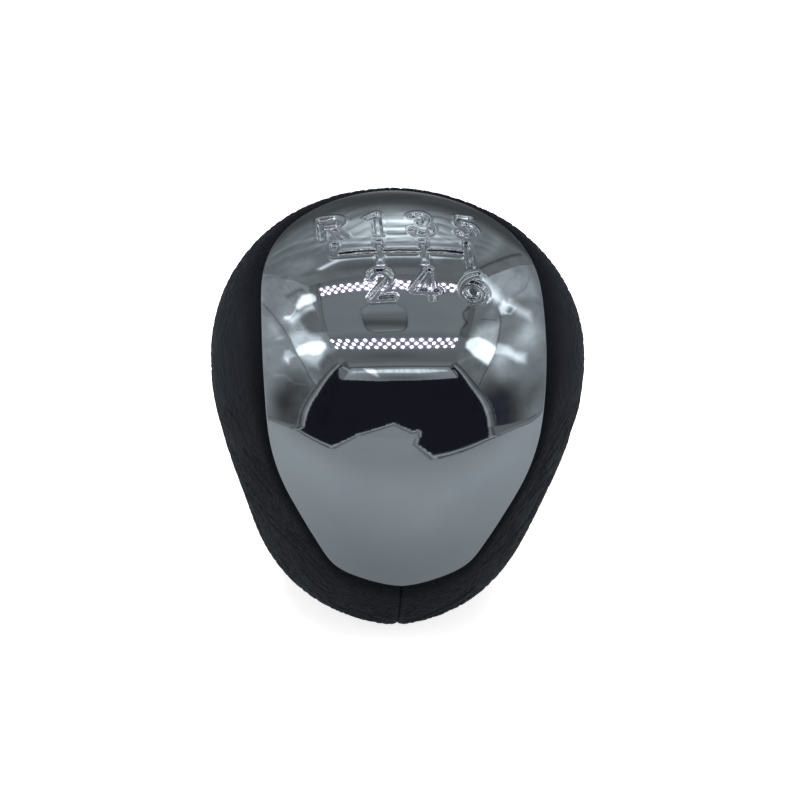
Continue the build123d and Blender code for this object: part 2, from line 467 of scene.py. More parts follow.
def leather():
    """Black grained leather, rougher where it tucks in beside the shield, with painted shade darkening its
    colour there.
    """
    material, nodes, links, shader = new_material("black_leather")
    # Painted shade: the attribute is 0 beside the shield and 1 away from it; it darkens the leather's
    # colour there and also raises its roughness.
    clear_of_painted_shade = nodes.new("ShaderNodeAttribute")
    clear_of_painted_shade.attribute_name = "clear_of_painted_shade"
    share = nodes.new("ShaderNodeMath")
    share.operation = "MULTIPLY_ADD"
    links.new(noise(nodes, links, 60, 5), share.inputs[0])
    share.inputs[1].default_value = 0.5
    links.new(clear_of_painted_shade.outputs["Fac"], share.inputs[2])
    dark, light = (0.0012, 0.0016, 0.0034), (0.0066, 0.0076, 0.0112)
    links.new(ramp(nodes, links, share.outputs[0], 0.2, 1.35, dark, light), shader.inputs["Base Color"])
    pebbles = nodes.new("ShaderNodeTexVoronoi")
    pebbles.feature = "DISTANCE_TO_EDGE"
    pebbles.inputs["Scale"].default_value = 1300
    links.new(warped(nodes, links, 700, 0.0007), pebbles.inputs["Vector"])
    edges = ramp(nodes, links, pebbles.outputs["Distance"], 0.0, 0.32, (0, 0, 0), (1, 1, 1))
    roughened(nodes, links, shader, clear_of_painted_shade.outputs["Fac"], 0.0, 1.0, 0.72, 0.5)
    shader.inputs["Specular IOR Level"].default_value = 0.27
    first = bump(nodes, links, shader, edges, 0.14, 0.0001)
    bump(nodes, links, shader, noise(nodes, links, 2600, 3), 0.07, 0.00004, first)
    return material


def moulded(name, dark, light, smoothest, roughest):
    """Moulded plastic or foam with a fine spark-eroded texture."""
    material, nodes, links, shader = new_material(name)
    tone = ramp(nodes, links, noise(nodes, links, 70), 0.3, 0.7, dark, light)
    links.new(tone, shader.inputs["Base Color"])
    roughened(nodes, links, shader, noise(nodes, links, 350, 5), 0.3, 0.7, smoothest, roughest)
    bump(nodes, links, shader, noise(nodes, links, 2600, 3), 0.2, 0.00003)
    return material


def turned(name, dark, light, roughness):
    """Turned metal: fine rings left by the tool, wrapped round the axis."""
    material, nodes, links, shader = new_material(name)
    shader.inputs["Metallic"].default_value = 1.0
    tone = ramp(nodes, links, noise(nodes, links, 120), 0.3, 0.7, dark, light)
    links.new(tone, shader.inputs["Base Color"])
    rings = nodes.new("ShaderNodeTexWave")
    rings.wave_type = "RINGS"
    rings.rings_direction = "Z"
    rings.inputs["Scale"].default_value = 900
    rings.inputs["Distortion"].default_value = 0.6
    links.new(place(nodes), rings.inputs["Vector"])
    roughened(nodes, links, shader, rings.outputs["Fac"], 0.0, 1.0, roughness - 0.06, roughness + 0.08)
    bump(nodes, links, shader, rings.outputs["Fac"], 0.15, 0.00002)
    return material


# Shift pattern
def arc(cx, cy, rx, ry, start, end, steps=14):
    """Points along part of an ellipse, from one angle in degrees to another."""
    turns = np.radians(np.linspace(start, end, steps))
    return [(cx + rx * math.cos(a), cy + ry * math.sin(a)) for a in turns]


# Strokes of each sign in millimetres about its column
SIGNS = {
    "1": [[(-1.15, 1.6), (0.2, 2.68), (0.2, -2.68)]],
    "2": [arc(-0.25, 1.3, 1.4, 1.38, 165, -35) + [(-1.6, -2.66), (1.49, -2.66)]],
    "3": [arc(-0.2, 1.38, 1.2, 1.3, 155, -80), arc(0.05, -1.25, 1.5, 1.43, 80, -155)],
    "4": [[(0.47, -2.68), (0.47, 2.68), (-2.06, -1.4), (1.34, -1.4)]],
    "5": [[(1.15, 2.68), (-0.5, 2.68), (-0.65, 0.5)] + arc(0.25, -1.0, 1.4, 1.68, 130, -150)],
    "6": [arc(0.12, -0.95, 1.65, 1.73, 0, 360, 24), arc(1.9, -0.9, 3.42, 3.6, 180, 100)],
    "R": [[(-1.72, -2.68), (-1.72, 2.68)] + arc(0.0, 1.3, 1.4, 1.38, 90, -90) + [(-1.72, -0.08)],
          [(-0.1, -0.08), (1.68, -2.68)]],
}
TOP_ROW = ("R", "1", "3", "5")
BOTTOM_ROW = ("", "2", "4", "6")
COLUMNS = [(i - 1.5) * COLUMN_PITCH for i in range(4)]


def sign_strokes():
    """The strokes of all the signs, on the pattern's plane in metres."""
    strokes = []
    for i, x in enumerate(COLUMNS):
        for sign, rise in ((TOP_ROW[i], DIGITS_UP), (BOTTOM_ROW[i], DIGITS_DOWN)):
            for stroke in SIGNS.get(sign, []):
                strokes.append([(x + a * MM, PATTERN_V + rise + b * MM) for a, b in stroke])
    return strokes


def distance_to(strokes, x, v):
    """How far each point lies from the nearest stroke."""
    nearest = np.full(x.shape, np.inf)
    for stroke in strokes:
        for (ax, av), (bx, bv) in zip(stroke, stroke[1:]):
            dx, dv = bx - ax, bv - av
            along = np.clip(((x - ax) * dx + (v - av) * dv) / (dx * dx + dv * dv), 0, 1)
            nearest = np.minimum(nearest, np.hypot(x - ax - along * dx, v - av - along * dv))
    return nearest


def distance_to_gate(x, v):
    """How far each point lies from the square-ended floor of the gate's grooves."""
    boxes = [(0.0, 0.0, COLUMNS[-1], GROOVE_FLOOR)]
    for i, column in enumerate(COLUMNS):
        low = -GROOVE_FLOOR if i == 0 else -GATE_HALF_HEIGHT
        boxes.append((column, (GATE_HALF_HEIGHT + low) / 2, GROOVE_FLOOR, (GATE_HALF_HEIGHT - low) / 2))
    nearest = np.full(x.shape, np.inf)
    for middle_x, middle_v, half_x, half_v in boxes:
        dx = np.maximum(np.abs(x - middle_x) - half_x, 0)
        dv = np.maximum(np.abs(v - PATTERN_V - middle_v) - half_v, 0)
        nearest = np.minimum(nearest, np.hypot(dx, dv))
    return nearest


def sunk(points):
    """How deep the pattern's grooves are under points of the shield, less the bead along their edges."""
    up, _ = facing(PATTERN_TILT)
    x, v = points[..., 0], points @ up
    away = np.minimum(distance_to(sign_strokes(), x, v) - GROOVE_FLOOR, distance_to_gate(x, v))
    lip = LIP_HEIGHT * bell(away, GROOVE_WALL + LIP_WIDTH / 2, LIP_WIDTH)
    return GROOVE_DEPTH * (1 - smooth(0, GROOVE_WALL, away)) - lip


# Shield
def row_angles(grow):
    """Outline angles of the shield's rows, close together where the pattern is."""
    turn = np.radians(np.linspace(-90, 90, 20001))
    x, v = outline_at(turn, grow)
    below_top = 1 - smooth(PATTERN_HIGH, PATTERN_HIGH + PATTERN_BORDER, v)
    fine = smooth(PATTERN_LOW - PATTERN_BORDER, PATTERN_LOW, v) * below_top
    spacing = COARSE_STEP * (1 - fine) + FINE_STEP * fine
    effort = np.abs(np.diff(v)) / spacing[1:] + np.abs(np.diff(x)) / EDGE_STEP
    total = np.concatenate([[0], np.cumsum(effort)])
    return np.interp(np.linspace(0, total[-1], int(total[-1]) + 1), total, turn)


def row_across(half):
    """Places across each row of the face, close together over the pattern."""
    fine = np.linspace(-1, 1, int(2 * PATTERN_HALF_WIDTH / FINE_STEP) + 1)
    side = np.linspace(0, 1, COARSE_COLUMNS + 1)[1:]
    middle = np.minimum(PATTERN_HALF_WIDTH, FINE_SHARE * half)[:, None]
    right = middle + side * (half[:, None] - middle)
    return np.concatenate([-right[:, ::-1], middle * fine, right], 1)


def shield_face(turn):
    """Points and faces of the face with the sunk pattern, and the loop of points round its edge."""
    half, v = outline_at(turn, -RIM_RADIUS)
    x = row_across(half[1:-1])
    rows, columns = x.shape
    face = drop_onto(x, np.repeat(v[1:-1, None], columns, 1), FACE_INSET)
    face -= sunk(face)[..., None] * surface_normal(face, FACE_INSET)
    tip, top = drop_onto(half[[0, -1]] * 0, v[[0, -1]], FACE_INSET)
    verts = [*face.reshape(-1, 3), tip, top]
    faces = quads(rows, columns)
    tip_at, top_at = rows * columns, rows * columns + 1
    for j in range(columns - 1):
        faces.append((tip_at, j + 1, j))
        a = (rows - 1) * columns + j
        faces.append((a, a + 1, top_at))
    right_side = [i * columns + columns - 1 for i in range(rows)]
    left_side = [i * columns for i in reversed(range(rows))]
    return verts, faces, [tip_at] + right_side + [top_at] + left_side


def shell_rings():
    """How far out and how deep the rings past the face lie: round the rim, down the edge, over the back."""
    bends = [math.radians(degrees) for degrees in RIM_BENDS]
    rings = [(-RIM_RADIUS * (1 - math.sin(b)), FACE_INSET + RIM_RADIUS * (1 - math.cos(b))) for b in bends]
    rings += [(0, SHIELD_THICKNESS - BACK_CHAMFER), (-BACK_CHAMFER, SHIELD_THICKNESS)]
    return rings + [(-SHIELD_HALF_WIDTH * share, SHIELD_THICKNESS) for share in BACK_RINGS]


def make_shield():
    """The plated shield as one closed shell."""
    turn = row_angles(-RIM_RADIUS)
    verts, faces, loop = shield_face(turn)
    loop_turn = np.concatenate([turn, np.pi - turn[1:-1][::-1]])
    count = len(loop)
    for grow, skin in shell_rings():
        rx, rv = outline_at(loop_turn, grow)
        fresh = list(range(len(verts), len(verts) + count))
        verts += list(drop_onto(rx, rv, skin))
        for k in range(count):
            n = (k + 1) % count
            faces.append((loop[n], loop[k], fresh[k], fresh[n]))
        loop = fresh
    verts.append(np.mean([verts[i] for i in loop], 0))
    for k in range(count):
        faces.append((loop[(k + 1) % count], loop[k], len(verts) - 1))
    make_piece("plated_shield", verts, faces, plating(), "trim_shield")


# Leather panels
def leather_grid(side, down, across, skin):
    """Points of a panel. Rows run from the crown's seam to the chin's, columns from shield to neck."""
    turn = np.radians(np.linspace(90, -90, down))
    x, v = outline_at(turn, SHIELD_GAP)
    edge = drop_onto(np.maximum(x, SEAM_GAP), v, skin)
    angle, share = Head(skin).angle_and_share(edge)
    s = np.linspace(0, 1, across)[None, :]
    angles = angle[:, None] * (1 - s) + turn[:, None] * s
    shares = share[:, None] * (1 - s) + s
    points = head_point(angles, shares, skin)
    points[..., 0] = np.maximum(points[..., 0], SEAM_GAP) * side
    return points


def leather_relief(points, from_shield, side):
    """How far the pebbled grain, the creases and the soft swellings lie under each point of a panel."""
    along = run_lengths(points, 0)
    height = points[..., 2]
    crown = 1 + 0.9 * smooth(48 * MM, 57 * MM, height)
    creased = smooth(2 * MM, 7 * MM, from_shield) * smooth(52 * MM, 34 * MM, height)
    swollen = smooth(1 * MM, 5 * MM, from_shield)
    depth = np.zeros(along.shape)
    for i, j in np.ndindex(depth.shape):
        p = Vector(points[i, j])
        near, _ = solid_noise.voronoi(p / GRAIN_CELL)
        pebble = smooth(0.0, GRAIN_EDGE, near[1] - near[0])
        sway = solid_noise.noise(p / SWAY_SIZE)
        across = (from_shield[i, j] + CREASE_LEAN * along[i, j]) / CREASE_SPACING + CREASE_SWAY * sway
        fold = solid_noise.noise(Vector((across, along[i, j] / CREASE_LENGTH, 9 * side)))
        crease = (1 - smooth(0.0, CREASE_EDGE, abs(fold))) * smooth(-0.25, 0.35, sway + 0.25)
        swell = 0.5 + 0.5 * solid_noise.noise(p / SWELL_SIZE)
        depth[i, j] = (GRAIN_DEPTH * (1 - pebble) * crown[i, j] + CREASE_DEPTH * crease * creased[i, j]
                       + SWELL_DEPTH * swell * swollen[i, j])
    for middle, size, rise in BULGES:
        away = np.linalg.norm(points / MM - middle, axis=2)
        depth -= rise * MM * bell(away, 0, size)
    return depth


def panel_depth(points, from_shield, side):
    """How far a panel lies under the head: its relief, the tuck beside the shield and the puckered seam."""
    from_seam = np.abs(points[..., 0])
    relief = leather_relief(points, from_shield, side) * smooth(0.2 * MM, 1.2 * MM, from_seam)
    reach = TUCK_REACH_LOW + (TUCK_REACH - TUCK_REACH_LOW) * smooth(46 * MM, 58 * MM, points[..., 2])
    tuck = TUCK_DEPTH * (1 - smooth(0, reach, from_shield)) ** TUCK_CURVE
    turns = 2 * math.pi * from_shield / PUCKER_SPACING
    seam_half = SEAM_HALF_WIDTH * (1 + 0.3 * np.sin(turns) + 0.2 * np.sin(2.6 * turns + side))
    return tuck + SEAM_DEPTH * bell(from_seam, 0, seam_half) + relief


def make_panel(name, side, node, material):
    """One leather panel as a closed skin: a fine outside, a coarser inside and stitched edges."""
    down, across = PANEL_DOWN, PANEL_ACROSS
    rows, columns = (down - 1) // PANEL_STEPS + 1, (across - 1) // PANEL_STEPS + 1
    outer = leather_grid(side, down, across, LEATHER_RECESS)
    inner = leather_grid(side, rows, columns, LEATHER_RECESS + LEATHER_THICKNESS)
    from_shield = run_lengths(outer, 1)
    depth = panel_depth(outer, from_shield, side)
    outer = outer - depth[..., None] * surface_normal(outer, LEATHER_RECESS)
    verts = [*outer.reshape(-1, 3), *inner.reshape(-1, 3)]
    base = down * across
    faces = quads(down, across) + [f[::-1] for f in quads(rows, columns, base)]
    for outer_run, inner_run in zip(grid_edges(down, across), grid_edges(rows, columns, base)):
        stitch(outer_run, inner_run, faces)
    if side > 0:
        faces = [f[::-1] for f in faces]
    piece = make_piece(name, verts, faces, material, node)
    # Painted shade beside the shield: 0 at the shield and 1 from 6.5 mm away, read by the leather's shader
    # for its colour and roughness.
    clear_of_painted_shade = np.zeros(len(verts), np.float32)
    clear_of_painted_shade[:base] = smooth(0.3 * MM, 6.5 * MM, from_shield).ravel()
    piece.data.attributes.new("clear_of_painted_shade", "FLOAT", "POINT").data.foreach_set("value", clear_of_painted_shade)


def dress(node, material):
    """Gives a CAD node that stays its own material."""
    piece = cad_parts[node]
    piece.data.materials.clear()
    piece.data.materials.append(material)


def make_camera():
    """The camera that took the photograph's view."""
    e, a = CAMERA_ELEVATION, CAMERA_AZIMUTH
    back = Vector((math.sin(a) * math.cos(e), -math.cos(a) * math.cos(e), math.sin(e)))
    right = Vector((0, 0, 1)).cross(back).normalized()
    up = back.cross(right)
    rolled_right = right * math.cos(CAMERA_ROLL) + up * math.sin(CAMERA_ROLL)
    rolled_up = up * math.cos(CAMERA_ROLL) - right * math.sin(CAMERA_ROLL)
    aim = Vector((0, 0, AIM_HEIGHT)) + AIM_RIGHT * rolled_right + AIM_UP * rolled_up
    data = bpy.data.cameras.new("camera")
    data.sensor_width = SENSOR
    data.lens = SENSOR * CAMERA_DISTANCE / VIEW_WIDTH
    camera = bpy.data.objects.new("camera", data)
    bpy.context.scene.collection.objects.link(camera)
    turn = Matrix((rolled_right, rolled_up, back)).transposed()
    camera.matrix_world = Matrix.Translation(aim + CAMERA_DISTANCE * back) @ turn.to_4x4()
    bpy.context.scene.camera = camera


# What the plating mirrors: painted light and shade of a lit tent. Each wall is painted over u or x
# along it and v, y or z across it, in millimetres, with a tone from 0 to 255.
def spot(u, v, at, size, turn=0.0):
    """A soft patch of 1 at its middle, with its longer way turned by some degrees."""
    c, s = math.cos(math.radians(turn)), math.sin(math.radians(turn))
    du, dv = u - at[0], v - at[1]
    return np.exp(-(((du * c + dv * s) / size[0]) ** 2) - ((dv * c - du * s) / size[1]) ** 2)


def far_from(u, v, points):
    """Distance from a run of straight lines."""
    return distance_to([points], u, v)


def ridge(u, v, points, width):
    """A soft line of 1 along a run of straight lines."""
    return bell(far_from(u, v, points), 0, width)


def within(u, v, corners):
    """Whether points lie inside a polygon."""
    inside = np.zeros(u.shape, bool)
    for (au, av), (bu, bv) in zip(corners, corners[1:] + corners[:1]):
        if av != bv:
            crosses = (av > v) != (bv > v)
            inside ^= crosses & (u < (bu - au) * (v - av) / (bv - av) + au)
    return inside


def patch(u, v, corners, soft):
    """A polygon of 1 with soft edges."""
    edge = far_from(u, v, corners + corners[:1])
    return smooth(-soft, soft, np.where(within(u, v, corners), edge, -edge))


def marked(u, v, marks):
    """The sum of some marks: each is its tone, its kind and where and how large or soft it is."""
    return sum(tone * kind(u, v, *where) for tone, kind, *where in marks)


def run_of(u, points):
    """Heights of a run of straight lines at u."""
    return np.interp(u, *zip(*points))


def left_wall(u, v):
    """Silver cloth: a lit patch over a fold, a long streak to the left and shade low down at the front."""
    over = 128 - 36 * smooth(100, 128, u) * smooth(110, 200, v) + marked(u, v, (
        (-34, patch, [(-96, 345), (-88, 264), (-40, 252), (4, 262), (14, 345)], 9),
        (34, spot, (-48, 222), (42, 24)),
        (78, patch, [(34, 292), (80, 294), (134, 192), (60, 178), (-2, 184), (-12, 245), (16, 266)], 18),
        (105, patch, [(62, 294), (80, 284), (94, 246), (84, 222), (67, 206), (64, 180), (47, 182),
                      (42, 215), (40, 244), (50, 276)], 11),
        (60, spot, (66, 262), (16, 22)),
        (60, spot, (56, 214), (10, 30)),
        (40, spot, (80, 238), (14, 14)),
        (150, patch, [(-188, 345), (-138, 345), (-112, 292), (-91, 262), (-104, 257), (-132, 272),
                      (-160, 294)], 8),
        (55, ridge, [(-97, 258), (-73, 240), (-59, 222), (-61, 208)], 2.4),
        (90, spot, (-58, 214), (6, 12), 20),
        (76, ridge, [(-112, 322), (-62, 246), (-48, 226)], 10),
        (-26, ridge, [(-138, 236), (-171, 272), (-188, 298)], 9),
        (-32, ridge, [(-12, 252), (-14, 224)], 2),
        (-20, ridge, [(-222, 255), (-206, 165)], 4),
    ))
    under = 132 - 50 * smooth(46, 116, u) * (1 - smooth(88, 172, v)) - 12 * smooth(70, 120, u)
    under += marked(u, v, (
        (70, patch, [(36, 170), (61, 172), (57, 152), (68, 138), (48, 142), (34, 158)], 5),
        (34, spot, (-27, 166), (24, 14)),
        (40, spot, (54, 145), (9, 12)),
        (-22, spot, (102, 48), (26, 28)),
        (45, spot, (-3, 168), (5, 12)),
        (16, ridge, [(62, 92), (80, 108), (112, 104), (140, 118)], 3),
    ))
    fold = [(-220, 140), (-108, 157), (-70, 180), (-28, 190), (5, 193), (60, 180), (100, 167), (130, 150),
            (175, 130)]
    tone = under + (over - under) * smooth(-2, 2, v - run_of(u, fold))
    return np.maximum(tone - 36 * ridge(u, v, fold[1:], 2.2), 38)


def left_front(u, v):
    """The left wall's edge strip, then darkness with the end of the front curtain over it."""
    drawn = 1 - smooth(276, 292, v)
    strip = 98 + (44 * bell(u, 188, 4) - 40 * bell(u, 174, 3)) * drawn
    curtain = 96 + 44 * ridge(u, v, [(214, 290), (262, 304)], 6)
    flap = within(u, v, [(199, 264), (205, 290), (262, 322), (262, 226), (234, 222), (209, 248)])
    hidden = np.where(v > run_of(u, [(192, 280), (206, 294), (262, 324)]), 76.0, 21.0)
    return np.where(u < 192, strip, np.where(flap, curtain, hidden))


def right_wall(u, v):
    """Silver cloth: a broad lit patch that ends at a fold, and a bright crease up to the right."""
    over = 98 + marked(u, v, (
        (70, patch, [(-40, 308), (6, 296), (34, 225), (-30, 206), (-62, 196)], 26),
        (150, patch, [(-100, 313), (-76, 324), (-52, 314), (-36, 282), (-44, 236), (-54, 200),
                      (-76, 190), (-119, 178), (-119, 250)], 9),
        (50, spot, (-80, 225), (30, 42)),
        (14, ridge, [(-190, 300), (-130, 262)], 9),
        (26, spot, (60, 262), (45, 26)),
        (-34, ridge, [(42, 297), (38, 240)], 2),
    ))
    under = 114 - 62 * (1 - smooth(-150, -56, u)) * (1 - smooth(62, 176, v))
    under += 34 * smooth(95, 125, u) * smooth(120, 150, v) - 12 * (1 - smooth(-140, -90, u))
    under += marked(u, v, (
        (84, patch, [(-74, 198), (-38, 210), (-34, 176), (-41, 150), (-30, 126), (-48, 113), (-58, 130),
                     (-60, 168)], 9),
        (36, spot, (0, 148), (46, 34)),
        (44, spot, (-74, 172), (30, 26)),
        (26, spot, (-108, 122), (30, 26)),
        (38, spot, (25, 147), (32, 24)),
        (27, spot, (-52, 128), (10, 14)),
        (-26, spot, (-66, 46), (26, 26)),
        (20, spot, (-98, 160), (40, 28)),
        (125, patch, [(58, 238), (84, 244), (109, 229), (90, 212), (64, 219)], 9),
        (60, ridge, [(64, 221), (62, 205), (80, 195), (93, 213)], 3),
        (80, patch, [(94, 216), (109, 213), (86, 182), (71, 154), (52, 151), (62, 186)], 12),
        (-22, ridge, [(118, 205), (140, 165), (180, 138)], 2.5),
    ))
    fold = [(-260, 120), (-195, 140), (-155, 165), (-110, 185), (-70, 197), (-30, 210), (5, 222),
            (35, 228), (65, 236), (105, 254), (220, 300)]
    tone = under + (over - under) * smooth(-2, 2, v - run_of(u, fold)) + marked(u, v, (
        (-38, ridge, fold[1:9], 2.2),
        (110, patch, [(98, 228), (150, 248), (185, 270), (228, 292), (228, 320), (180, 304), (140, 280),
                      (104, 254)], 20),
        (40, spot, (107, 212), (10, 10)),
        (-32, spot, (206, 162), (26, 26)),
    ))
    return np.maximum(tone, 40)


def right_front(u, v):
    """The right wall's edge strip, then darkness with the end of the front curtain over it."""
    drawn = 1 - smooth(298, 314, v)
    strip = 90 + (48 * bell(u, -224, 5) - 40 * bell(u, -205, 3)) * drawn
    curtain = 80 + 34 * bell(u, -245, 3)
    flap = within(u, v, [(-262, 232), (-249, 240), (-243, 262), (-243, 288), (-262, 306)])
    hidden = np.where(v > run_of(u, [(-262, 316), (-230, 300)]), 74.0, 22.0)
    return np.where(u > -230, strip, np.where(flap, curtain, hidden))


def leaning(along, z, lean):
    """Places along a wall, moved on toward the floor so that an edge there leans."""
    reach, height = lean
    return along + reach * (1 - smooth(0, height, z))


def paint_left(y, z):
    """The left wall and its front edge."""
    edge = leaning(-y, z, LEFT_LEAN)
    return np.where(edge < LEFT_END, left_wall(-y, z), left_front(edge, z))


def paint_right(y, z):
    """The right wall and its front edge."""
    edge = leaning(y, z, RIGHT_LEAN)
    return np.where(edge > RIGHT_END, right_wall(y, z), right_front(edge, z))


def paint_back(x, z):
    """Silver cloth behind the knob: crumpled and bright in the middle, with a bright arc over it."""
    wander = z + 9 * np.sin(x / 21) + 5 * np.sin(x / 8.3 + 2) + 0.12 * x
    ripple = np.sin(2 * math.pi * wander / 23) + 0.5 * np.sin(2 * math.pi * wander / 11 + x / 9)
    ripple *= 0.65 + 0.35 * np.sin(x / 13 + z / 27)
    tone = 98 + spot(x, z, (12, 160), (60, 44)) * (84 + 70 * ripple)
    tone += 8 * (1 - smooth(-150, -85, x)) - 34 * (1 - smooth(72, 112, z)) + 64 * (1 - smooth(6, 44, z))
    return tone + marked(x, z, (
        (-20, spot, (-20, 280), (70, 18)),
        (55, spot, (20, 138), (22, 18)),
        (60, ridge, [(-40, 188), (-10, 198), (20, 193), (60, 187), (78, 170)], 4),
        (45, ridge, [(-34, 174), (0, 181), (30, 177), (66, 167)], 3),
        (14, ridge, [(-130, 148), (-78, 168), (-48, 188)], 8),
        (22, ridge, [(-112, 124), (-60, 150)], 6),
        (26, spot, (-116, 216), (24, 28)),
        (18, ridge, [(112, 240), (118, 180), (106, 116)], 9),
        (-36, ridge, [(132, 250), (137, 180), (140, 110)], 3),
        (120, ridge, [(-98, 260), (-60, 242), (-5, 247), (60, 241), (90, 226)], 5),
    ))


def paint_front(x, z):
    """The open front: a curtain lit along its top, darkness under it and the notched pad's far edge."""
    bar = patch(x, z, [(-152, 298), (-60, 310), (60, 312), (146, 303), (150, 290), (60, 276), (-60, 280),
                       (-152, 284)], 7)
    sparkle = 0.88 + 0.12 * np.sin(x / 3.3 + 2 * np.sin(x / 12))
    curtain = 124 + 105 * bar * (1 - 0.3 * smooth(60, 146, x)) * sparkle
    curtain -= 50 * bar * (1 - smooth(-130, -80, x))
    curtain += marked(x, z, (
        (-36, spot, (5, 240), (85, 22)),
        (25, spot, (-150, 290), (16, 25)),
        (95, patch, [(-122, 324), (-84, 318), (-72, 290), (-58, 240), (-80, 268), (-100, 292)], 4),
        (-34, ridge, [(-92, 300), (-60, 243)], 2),
    ))
    hem = run_of(x, [(-165, 230), (-60, 219), (70, 223), (165, 236)])
    tone = np.where(z > hem, curtain, 22.0)
    hump = [(-90.0, 0.0), (-12.0, 42.0), (26.0, 17.0), (34.0, 22.0), (41.0, 16.0), (42.0, 0.0)]
    edge = far_from(x, z, hump)
    return np.where(within(x, z, hump), 122 + 30 * bell(edge, 0, 1.8) - 58 * bell(edge, 5, 1.6), tone)


def paint_ceiling(x, y):
    """White cloth with a camera hole, seams at its sides and a glow round each strip of lamps."""
    left_seam = [(-136, 225), (-140, 146), (-152, 60), (-159, -10)]
    right_seam = [(126, 150), (138, 112), (146, 92), (135, 66), (139, 38), (150, 24), (140, -14),
                  (143, -40)]
    tone = 90 + 20 * smooth(-60, -20, y) * (1 - smooth(120, 165, y)) + 12 * smooth(-205, -222, y)
    tone += 10 * bell(y, -236, 5) - 26 * bell(y, -254, 9) - 22 * ridge(x + 7, y, left_seam, 1.6)
    tone += marked(x, y, (
        (140, patch, [(-170, 184), (-161, 178), (-154, 160), (-153, 146), (-158, 136), (-170, 134)], 4),
        (-30, ridge, left_seam, 2.2),
        (-46, ridge, right_seam, 2.4),
    )) - 26 * smooth(136, 150, x) * smooth(-60, -40, y)
    hole = ((x + 23) / 43) ** 4 + ((y - 23) / 60) ** 4
    flap = 98 + 18 * smooth(36, 60, y) - 28 * bell(y + 0.10 * x, 2, 17) + 22 * (1 - smooth(-34, -20, y))
    tone = np.where(hole < 1, flap, tone) - 42 * bell(hole, 1, 0.12) * (1 - 0.55 * (y > 30))
    return tone + marked(x, y, (
        (14, spot, (0, 168), (190, 34)),
        (18, spot, (0, -92), (210, 46)),
        (-12, spot, (-20, -165), (70, 26)),
    ))


def paint_floor(x, y):
    """The grey pad that the knob stands on, with the knob's painted shadow, its notched front and the dark
    beyond.
    """
    left_edge = [(-165, -52), (-146, -68), (-142, -108), (-130, -124), (-72, -127)]
    right_edge = [(36, -129), (96, -125), (122, -110), (133, -90), (135, -66), (144, -54), (166, -50)]
    runway = [(-74, -126), (-80, -200), (-88, -275), (40, -275), (26, -200), (36, -128)]
    left_cut = [(-134, -120), (-136, -135), (-165, -177), (-165, -260)]
    right_cut = [(108, -120), (110, -135), (165, -200), (165, -260)]
    rim = np.minimum(far_from(x, y, left_edge), far_from(x, y, right_edge))
    strip = np.minimum(far_from(x, y, runway[:3]), far_from(x, y, runway[3:]))
    cuts = np.minimum(far_from(x, y, left_cut), far_from(x, y, right_cut))
    # The pad is darker toward its front edge, and the spot under the knob is its painted shadow.
    tone = 139 - 14 * (1 - smooth(-128, -66, y)) - 32 * spot(x, y, (0, -30), (42, 34))
    tone -= 36 * bell(rim, 0, 2.2)
    tone += (y < -128) * (28 * bell(strip, 0, 2) - 46 * bell(strip, 5, 1.8))
    beyond = 22 + 120 * bell(rim, 7, 4.5) * (1 - smooth(12, 20, rim))
    left_x, right_x = [run_of(-y, [(-v, u) for u, v in cut]) for cut in (left_cut, right_cut)]
    lit = 90 + 22 * bell(rim, 7, 5) + 36 * bell(cuts, 0, 3) - 30 * bell(cuts, 7, 2)
    beyond = np.where((x > right_x) | (x < left_x), lit, beyond)
    pad = within(x, y, left_edge + runway + right_edge + [(166, 225), (-165, 225)])
    return np.where(pad, tone, beyond)


# Studio
def glowing(name):
    """A surface that glows with its painted tone of light and shade and nothing else."""
    material = bpy.data.materials.new(name)
    material.use_nodes = True
    nodes, links = material.node_tree.nodes, material.node_tree.links
    nodes.clear()
    output = nodes.new("ShaderNodeOutputMaterial")
    glow = nodes.new("ShaderNodeEmission")
    tone = nodes.new("ShaderNodeAttribute")
    tone.attribute_name = "tone"
    links.new(tone.outputs["Color"], glow.inputs["Color"])
    links.new(glow.outputs["Emission"], output.inputs["Surface"])
    return material, nodes, links, glow


def crinkle(nodes, links, glow, scale, spread, facets=0.0):
    """Folded foil as painted light and shade: soft noise varies the glow's strength, and facets with sharp
    edges vary it again.
    """
    soft = nodes.new("ShaderNodeMapRange")
    soft.inputs["From Min"].default_value = 0.3
    soft.inputs["From Max"].default_value = 0.7
    soft.inputs["To Min"].default_value = 1 - spread
    soft.inputs["To Max"].default_value = 1 + spread
    links.new(noise(nodes, links, scale, 8.0, 0.58), soft.inputs["Value"])
    strength = soft.outputs["Result"]
    if facets:
        cells = nodes.new("ShaderNodeTexVoronoi")
        cells.inputs["Scale"].default_value = 30
        links.new(warped(nodes, links, 18, 0.05), cells.inputs["Vector"])
        tone = nodes.new("ShaderNodeSeparateColor")
        links.new(cells.outputs["Color"], tone.inputs["Color"])
        facet = times(nodes, links, tone.outputs["Red"], facets, 1 - facets / 2)
        strength = combined(nodes, links, "MULTIPLY", facet, strength)
    links.new(strength, glow.inputs["Strength"])


def lamp_material(name, colour, strength):
    """A lamp's own light."""
    material, _, _, shader = new_material(name)
    shader.inputs["Base Color"].default_value = (0, 0, 0, 1)
    shader.inputs["Emission Color"].default_value = (*colour, 1)
    shader.inputs["Emission Strength"].default_value = strength
    return material


def reflected_only(piece):
    """Makes a stage piece show in glossy rays alone."""
    piece.visible_camera = False
    piece.visible_diffuse = False
    piece.visible_transmission = False
    piece.visible_volume_scatter = False
    piece.visible_shadow = False


def tone_to_light(tone):
    """Light that the plating shows as a display tone from 0 to 255."""
    night = 1 - smooth(22, 60, tone)[..., None]
    shown = np.clip(tone, 0, 400)[..., None] / 255 * (TENT_TINT * (1 - night) + NIGHT_TINT * night)
    return np.where(shown < 0.04, shown / 12.92, ((shown + 0.055) / 1.055) ** 2.4) / PLATING_TONE


